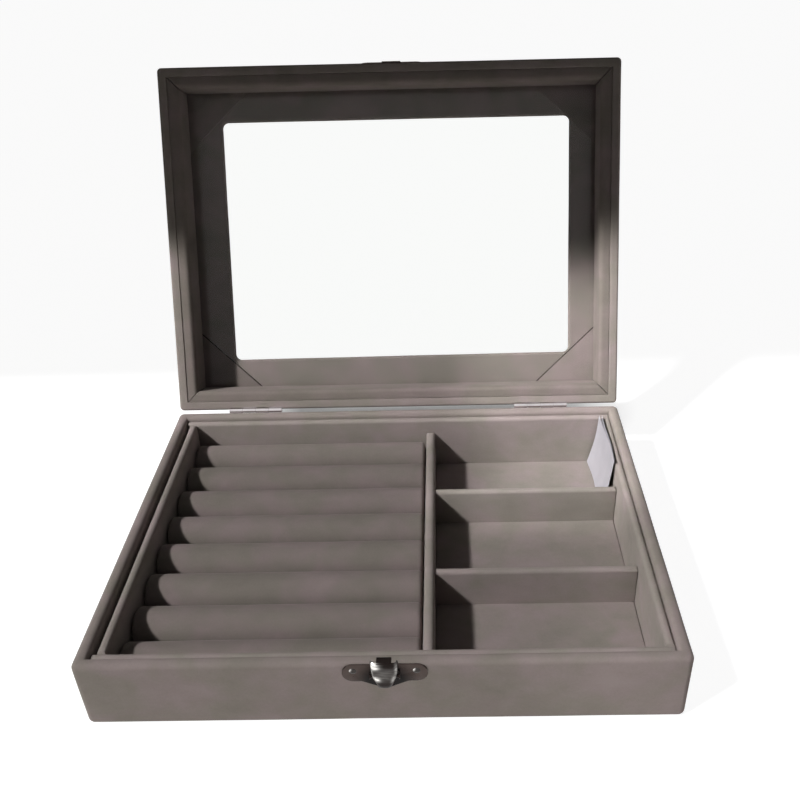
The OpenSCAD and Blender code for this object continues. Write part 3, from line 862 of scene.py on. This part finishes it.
def plated(name, dark, light, smooth_end, rough_end, highlight_attribute=None, shade_centre=None):
    """A plated metal in two close tones. Where the attribute named by highlight_attribute is 1 it
    is painted bright as a highlight, and round shade_centre it is painted nearly black as shade."""
    material, tree = new_material(name)
    place = add(tree, "ShaderNodeTexCoord")
    haze = noise(tree, (place, "Object"), HAZE_MM, 3.0)
    drawn = add(tree, "ShaderNodeMapping", Vector=(place, "Object"), Scale=(0.15, 1.0, 1.0))
    scratches = noise(tree, (drawn, "Vector"), SCRATCH_MM, 2.0)
    rough = add(tree, "ShaderNodeMapRange", Value=(haze, "Fac"), From_Min=0.3, From_Max=0.7,
                To_Min=smooth_end, To_Max=rough_end)
    tint = blend(tree, (haze, "Fac"), dark, light)
    # painted highlight: the colour is blended towards bright bare metal by the highlight attribute
    if highlight_attribute:
        highlight_amount = add(tree, "ShaderNodeAttribute", {"attribute_name": highlight_attribute})
        broken = add(tree, "ShaderNodeMapRange", Value=(scratches, "Fac"), From_Min=0.35,
                     From_Max=0.65, To_Min=0.6, To_Max=1.3)
        rubbed = add(tree, "ShaderNodeMath", {"operation": "MULTIPLY", "use_clamp": True},
                     _0=(highlight_amount, "Fac"), _1=(broken, "Result"))
        tint = blend(tree, (rubbed, "Value"), (tint, "Result"), HIGHLIGHT_WHITE)
    # painted shade: the colour is blended towards near black round shade_centre
    if shade_centre:
        near = add(tree, "ShaderNodeMapping", {"vector_type": "TEXTURE"}, Vector=(place, "Object"),
                   Location=shade_centre, Scale=(PAINTED_SHADE_R, PAINTED_SHADE_R, PAINTED_SHADE_R))
        shade_gradient = add(tree, "ShaderNodeTexGradient", {"gradient_type": "SPHERICAL"},
                      Vector=(near, "Vector"))
        inside = add(tree, "ShaderNodeMapRange", Value=(shade_gradient, "Fac"), From_Min=0.0,
                     From_Max=0.45)
        tint = blend(tree, (inside, "Result"), (tint, "Result"), PAINTED_SHADE)
    bump = add(tree, "ShaderNodeBump", Strength=0.06, Distance=SCRATCH_DEPTH,
               Height=(scratches, "Fac"))
    shader = add(tree, "ShaderNodeBsdfPrincipled", Base_Color=(tint, "Result"), Metallic=1.0,
                 Roughness=(rough, "Result"), Normal=(bump, "Normal"))
    add(tree, "ShaderNodeOutputMaterial", Surface=(shader, "BSDF"))
    return material


clasp_lo, clasp_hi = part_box("clasp_lever")
# the dark nickel is painted nearly black as shade round the lever's foot
dark_nickel = plated("dark_nickel_plate", "#3d3431", "#554b47", 0.24, 0.38,
                     shade_centre=((clasp_lo.x + clasp_hi.x) / 2, clasp_hi.y, clasp_lo.z))
# dark nickel with painted highlights wherever a piece's rubbed attribute is high
highlighted_dark_nickel = plated("dark_nickel_painted_highlights", "#191312", "#2a2321", 0.16, 0.26, highlight_attribute="rubbed")
dull_nickel = plated("dull_nickel_plate", "#4a423e", "#5f5751", 0.25, 0.4)
bright_nickel = plated("bright_nickel_plate", "#c4bebf", "#dad4d5", 0.1, 0.18)

# %% [markdown]
# ## Pressed metal pieces
# A press leaves a small radius on every edge, and that radius catches the light. The clasp's
# plates and nails are copied from the construction model, whose outlines are already exact: the
# copy is merged, its flat faces are joined up, and its sharp edges are rounded by a tenth of a
# millimetre or so.

# %% Pressed pieces
def pressed_copy(name, node, body, radius, material):
    """A copy of a node with its loose triangles joined and its edges rounded."""
    obj = bpy.data.objects.new(name, frame["nodes"][node].data.copy())
    obj.data.name = name
    bpy.context.scene.collection.objects.link(obj)
    only(obj)
    bpy.ops.object.mode_set(mode="EDIT")
    bpy.ops.mesh.select_all(action="SELECT")
    bpy.ops.mesh.remove_doubles(threshold=0.001 * MM)
    bpy.ops.mesh.dissolve_limited(angle_limit=math.radians(1))
    bpy.ops.object.mode_set(mode="OBJECT")
    count = round_edges(obj, radius, lambda a, b: True, steps=3)
    smooth(obj)
    print(name, "rounded edges:", count)
    return finish_piece(obj, body, node, material)


plate = pressed_copy("clasp_plate_pressed", "clasp_plate", "base", 0.15 * MM, dark_nickel)
plate.visible_shadow = False
pressed_copy("strike_plate_pressed", "strike_plate", "lid", 0.12 * MM, dark_nickel)
pressed_copy("strike_nails_domed", "strike_nails", "lid", 0.15 * MM, dull_nickel)

# %% [markdown]
# ## The clasp's nails
# Two nails with domed heads hold the clasp's plate. A head is a squashed ball on a thin shank,
# with a painted highlight on the side that faces left, up and a little forward.

# %% Domed nails
DOME_R = 1.35 * MM
DOME_RISE = 0.6 * MM
SHANK_R = 0.4 * MM
# painted highlight: the side of each head that faces this way is painted bright
HIGHLIGHT_SIDE = Vector((-0.8, -0.35, 0.45)).normalized()
LEAST_HIGHLIGHT, HIGHLIGHT_FROM, HIGHLIGHT_RISE = 0.04, 0.7, 3


def domed_nail(x, z, front, back):
    """A nail driven in along Y, with its head's crown at front and its point at back."""
    neck = front + DOME_RISE
    head = new_shape("nail", bpy.ops.mesh.primitive_uv_sphere_add, segments=32, ring_count=16,
                     radius=1, location=(x, neck, z))
    # how strong the painted highlight is at each point of the head
    rubbed = head.data.attributes.new("rubbed", "FLOAT", "POINT")
    for vertex in head.data.vertices:
        highlight_amount = (vertex.co.normalized().dot(HIGHLIGHT_SIDE) - HIGHLIGHT_FROM) * HIGHLIGHT_RISE
        rubbed.data[vertex.index].value = max(LEAST_HIGHLIGHT, min(1, highlight_amount))
    head.scale = (DOME_R, DOME_RISE, DOME_R)
    settle(head)
    shank = new_shape("shank", bpy.ops.mesh.primitive_cylinder_add, vertices=20, radius=SHANK_R,
                      depth=back - neck, location=(x, (back + neck) / 2, z),
                      rotation=(math.pi / 2, 0, 0))
    return join(head, shank)


nails_lo, nails_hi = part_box("clasp_nails")
nail_inset = (nails_hi.z - nails_lo.z) / 2
nails = join(*[domed_nail(x, nails_lo.z + nail_inset, nails_lo.y, nails_hi.y)
               for x in (nails_lo.x + nail_inset, nails_hi.x - nail_inset)])
nails.name = nails.data.name = "clasp_nails_domed"
smooth(nails)
finish_piece(nails, "base", "clasp_nails", highlighted_dark_nickel)

# %% [markdown]
# ## The clasp's lever
# The lever is a thin shell, deep drawn into the shape of a shield: a rounded shoulder on top, a
# swell below it for the thumb, and a narrow foot. A grid is laid over the front of its node and
# bent by a short table, which gives its half width and how far it stands out, from the top down.
# A nose on the inside of its top edge catches in the lid. Highlights are painted bright on its
# left shoulder, on the swell and along its edges, and a faint pale haze is painted over its middle.

# %% Drawn lever
# share of the height from the top, half width in mm, distance from the wall in mm
LEVER_STATIONS = [(0.0, 4.3, 2.6), (0.05, 4.45, 3.5), (0.12, 4.5, 3.85), (0.3, 4.45, 3.6),
                  (0.42, 4.35, 3.65), (0.55, 4.1, 4.15), (0.68, 3.5, 4.2), (0.8, 3.0, 4.2),
                  (0.9, 2.6, 4.0), (0.97, 1.9, 3.4), (1.0, 1.0, 2.9)]
LEVER_ROUNDNESS = 2 / 3
LEVER_NEAR = 1.5
LEVER_SKIN = 0.4 * MM
NOSE_HALF_WIDTH = 2.4 * MM
NOSE_TOP, NOSE_BOTTOM = 0.1 * MM, 0.9 * MM
NOSE_FRONT, NOSE_TIP = 3 * MM, 0.05 * MM
NOSE_R = 0.15 * MM
# side, share of the height, their two spreads and the strength of each painted highlight spot
HIGHLIGHT_SPOTS = [(-0.72, 0.1, 0.3, 0.1, 1.2), (-0.62, 0.56, 0.26, 0.07, 1.2),
                (0.85, 0.22, 0.1, 0.2, 0.3), (-0.9, 0.36, 0.08, 0.22, 0.3),
                (0.7, 0.58, 0.14, 0.1, 0.4), (0, 0.4, 0.8, 0.22, 0.1),
                (-0.95, 0.85, 0.06, 0.2, 0.3), (0.95, 0.85, 0.06, 0.2, 0.2)]


def station(share, column):
    """A value from the lever's table at a share of its height, blended between two rows."""
    for low, high in zip(LEVER_STATIONS, LEVER_STATIONS[1:]):
        if share <= high[0]:
            blend = (share - low[0]) / (high[0] - low[0])
            return low[column] + (high[column] - low[column]) * blend
    return LEVER_STATIONS[-1][column]


def drawn_lever(name, node):
    """A bent shell over the front of its node, with the nose that catches in the lid."""
    lo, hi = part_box(node)
    middle = (lo.x + hi.x) / 2
    obj = new_shape(name, bpy.ops.mesh.primitive_grid_add, x_subdivisions=40, y_subdivisions=48,
                    size=2)
    # how strong the painted highlight is at each point of the lever
    rubbed = obj.data.attributes.new("rubbed", "FLOAT", "POINT")
    for vertex in obj.data.vertices:
        angle = vertex.co.x * math.pi / 2
        share = (1 - vertex.co.y) / 2
        across = math.copysign(abs(math.sin(angle)) ** LEVER_ROUNDNESS, angle)
        depth = math.cos(angle) ** LEVER_ROUNDNESS
        out = LEVER_NEAR + (station(share, 2) - LEVER_NEAR) * depth
        vertex.co = (middle + across * station(share, 1) * MM, base_lo.y - out * MM,
                     hi.z + (lo.z - hi.z) * share)
        rubbed.data[vertex.index].value = min(1, sum(
            strength * math.exp(-((across - a) / ra) ** 2 - ((share - b) / rb) ** 2)
            for a, b, ra, rb, strength in HIGHLIGHT_SPOTS))
    skin = obj.modifiers.new("skin", "SOLIDIFY")
    skin.thickness = LEVER_SKIN
    skin.offset = -1
    apply_modifier(obj, skin)
    nose = block("nose", (middle - NOSE_HALF_WIDTH, base_lo.y - NOSE_FRONT, hi.z - NOSE_BOTTOM),
                 (middle + NOSE_HALF_WIDTH, base_lo.y - NOSE_TIP, hi.z - NOSE_TOP))
    round_edges(nose, NOSE_R, lambda a, b: True, steps=2)
    join(obj, nose)
    smooth(obj)
    return obj


lever = drawn_lever("clasp_lever_drawn", "clasp_lever")
for small_part in (lever, frame["nodes"]["clasp_pin"], frame["nodes"]["clasp_spring"]):
    small_part.visible_shadow = False
finish_piece(lever, "clasp_lever", "clasp_lever", highlighted_dark_nickel)

# %% [markdown]
# ## Pieces kept from the construction model
# Hinge leaves, their nails, all pins, the clasp's spring and the bottom board and its paper
# already have their true shape, so they only get their finish. The board is grey recycled board,
# and the paper under it is a dark kraft that hides where the velvet ends.

# %% Board, paper and kept metal
HAIR_DEPTH = 0.05 * MM


def pulp(name, dark, light, fibre_mm, roughness):
    """Pressed paper pulp: flecks of fibre in two tones, with a slightly hairy surface."""
    material, tree = new_material(name)
    place = add(tree, "ShaderNodeTexCoord")
    flecks = noise(tree, (place, "Object"), fibre_mm, 5.0, Roughness=0.7)
    clouds = noise(tree, (place, "Object"), 12 * fibre_mm, 2.0)
    mixed = add(tree, "ShaderNodeMath", {"operation": "MULTIPLY_ADD"}, _0=(flecks, "Fac"), _1=0.6,
                _2=(clouds, "Fac"))
    spread = add(tree, "ShaderNodeMapRange", Value=(mixed, "Value"), From_Min=0.55, From_Max=1.05)
    tone = blend(tree, (spread, "Result"), dark, light)
    bump = add(tree, "ShaderNodeBump", Strength=0.3, Distance=HAIR_DEPTH, Height=(flecks, "Fac"))
    shader = add(tree, "ShaderNodeBsdfPrincipled", Base_Color=(tone, "Result"),
                 Roughness=roughness, Specular_IOR_Level=0.3, Normal=(bump, "Normal"))
    add(tree, "ShaderNodeOutputMaterial", Surface=(shader, "BSDF"))
    return material


grey_board = pulp("grey_recycled_board", "#6f6761", "#857c75", 1.2, 0.9)
kraft_paper = pulp("dark_kraft_paper", "#332e2b", "#433c38", 1.6, 0.75)
KEPT = {
    "base_bottom_board": grey_board,
    "underside_lining": kraft_paper,
    "clasp_pin": dark_nickel,
    "clasp_spring": dull_nickel,
    "hinge_base_nails": bright_nickel,
    "hinge_lid_nails": bright_nickel,
}
for side in ("left", "right"):
    for part in ("base_leaf", "lid_leaf", "pin"):
        KEPT[f"{side}_hinge_{part}"] = bright_nickel
for node, material in KEPT.items():
    frame["nodes"][node].data.materials.clear()
    frame["nodes"][node].data.materials.append(material)
shown = [n for n, o in frame["nodes"].items() if not o.hide_render and n not in KEPT]
print("nodes kept:", len(KEPT), "- nodes without a finish:", shown)

# %% [markdown]
# ## Floor, lamps and world
# The box stands on a plain white floor in an even, weak light from all round. Window light
# comes from the left and a little from the front. It is made of five panes that overlap in one
# slanted plane, so it is strongest at the right and back, and it ends halfway up the lid.
# A narrow spread keeps each pane's beam nearly parallel, as light from a far window is, which
# gives shadows with a soft edge a few millimetres wide. What the camera sees of world and floor
# is white, and so is what glass and metal mirror: the light path tells these rays from the ones
# that light the box, so white costs no extra light. Only the floor behind the box is kept darker
# where the open lid covers it, and the narrow gap under the lid shows that shade.

# %% Stage
FLOOR_SIZE = 6.0
FLOOR_DROP = 0.1 * MM
AMBIENT = 0.068
SHADE_PLACE, SHADE_SIZE = (18 * MM, 120 * MM, 0), (102 * MM, 60 * MM, 1)
SHADE_REACH = 150 * MM
OPEN_GLOW, SHADED_GLOW = 0.93, 0.14


def seen_directly(tree):
    """1 for rays from the camera, a mirror or glass that haven't been scattered yet."""
    path = add(tree, "ShaderNodeLightPath")
    mirrored = add(tree, "ShaderNodeMath", {"operation": "MAXIMUM"},
                   _0=(path, "Is Camera Ray"), _1=(path, "Is Glossy Ray"))
    through = add(tree, "ShaderNodeMath", {"operation": "MAXIMUM"},
                  _0=(mirrored, "Value"), _1=(path, "Is Transmission Ray"))
    unscattered = add(tree, "ShaderNodeMath", {"operation": "LESS_THAN"},
                      _0=(path, "Diffuse Depth"), _1=0.5)
    return add(tree, "ShaderNodeMath", {"operation": "MULTIPLY"},
               _0=(through, "Value"), _1=(unscattered, "Value"))


world = bpy.data.worlds.new("white_studio")
world.use_nodes = True
bpy.context.scene.world = world
sky = world.node_tree
sky.nodes.clear()
soft = add(sky, "ShaderNodeBackground", Color=srgb("#fffdfb"), Strength=AMBIENT)
white = add(sky, "ShaderNodeBackground", Color=srgb("#ffffff"), Strength=1.0)
chosen = add(sky, "ShaderNodeMixShader", _0=(seen_directly(sky), "Value"),
             _1=(soft, "Background"), _2=(white, "Background"))
add(sky, "ShaderNodeOutputWorld", Surface=(chosen, "Shader"))

bpy.ops.object.select_all(action="DESELECT")
bpy.ops.mesh.primitive_plane_add(size=FLOOR_SIZE, location=(0, 0, cad_box[0].z - FLOOR_DROP))
floor = bpy.context.object
floor.name = "studio_floor"
paint, tree = new_material("white_studio_floor")
lit = add(tree, "ShaderNodeBsdfDiffuse", Color=srgb("#e6e4e2"))
grey = add(tree, "ShaderNodeBsdfDiffuse", Color=srgb("#a0a0a0"))
spot = add(tree, "ShaderNodeTexCoord")
patch = add(tree, "ShaderNodeMapping", {"vector_type": "TEXTURE"}, Vector=(spot, "Object"),
            Location=SHADE_PLACE, Scale=SHADE_SIZE)
nearness = add(tree, "ShaderNodeTexGradient", {"gradient_type": "SPHERICAL"},
               Vector=(patch, "Vector"))
behind_box = add(tree, "ShaderNodeMapRange", Value=(nearness, "Fac"), From_Min=0.0, From_Max=0.3)
open_sky = add(tree, "ShaderNodeAmbientOcclusion", {"samples": 16}, Distance=SHADE_REACH)
covered = add(tree, "ShaderNodeMapRange", Value=(open_sky, "AO"), From_Min=0.92, From_Max=0.66)
shade = add(tree, "ShaderNodeMath", {"operation": "MULTIPLY"}, _0=(behind_box, "Result"),
            _1=(covered, "Result"))
brightness = add(tree, "ShaderNodeMapRange", Value=(shade, "Value"), To_Min=OPEN_GLOW,
                 To_Max=SHADED_GLOW)
glow = add(tree, "ShaderNodeEmission", Color=srgb("#ffffff"), Strength=(brightness, "Result"))
pale = add(tree, "ShaderNodeAddShader", _0=(grey, "BSDF"), _1=(glow, "Emission"))
both = add(tree, "ShaderNodeMixShader", _0=(seen_directly(tree), "Value"),
           _1=(lit, "BSDF"), _2=(pale, "Shader"))
add(tree, "ShaderNodeOutputMaterial", Surface=(both, "Shader"))
floor.data.materials.append(paint)
floor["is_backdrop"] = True

# %% Window light
WINDOW_SIDE = Vector((-0.85, -0.5, 1.0)).normalized()
WINDOW_FAR = 300 * MM
WINDOW_ROLL = math.radians(-40)
WINDOW_SPREAD = math.radians(5.5)
# low and high edge across and along the window's slanted frame in mm, and power per area
PANES = [(-136, 450, -350, 350, 2.75), (-136, -20, 20, 350, 2.7), (-136, -60, -350, 20, 1.15),
         (-136, -60, 20, 350, 0.9), (-136, 450, 70, 350, 0.5)]

window_turn = (WINDOW_SIDE.to_track_quat("Z", "Y").to_matrix().to_4x4()
               @ Matrix.Rotation(WINDOW_ROLL, 4, "Z"))
for number, (left, right, low, high, bright) in enumerate(PANES, start=1):
    light = bpy.data.lights.new(f"window_pane_{number}", "AREA")
    light.shape = "RECTANGLE"
    light.size, light.size_y = (right - left) * MM, (high - low) * MM
    light.spread = WINDOW_SPREAD
    light.energy = bright * light.size * light.size_y
    light.cycles.use_multiple_importance_sampling = False
    lamp = bpy.data.objects.new(light.name, light)
    middle = window_turn @ (Vector(((left + right) / 2, (low + high) / 2, 0)) * MM)
    lamp.matrix_world = Matrix.Translation(middle + WINDOW_SIDE * WINDOW_FAR) @ window_turn
    lamp.visible_camera = lamp.visible_transmission = False
    bpy.context.scene.collection.objects.link(lamp)
print("window panes:", len(PANES))

# %% Write the sizes and finish
look_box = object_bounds()
grown = [round(max(cad_low - low, high - cad_high, 0) / MM, 2)
         for cad_low, cad_high, low, high in zip(*cad_box, *look_box)]
print("stands proud of the construction model by, in mm:", grown)
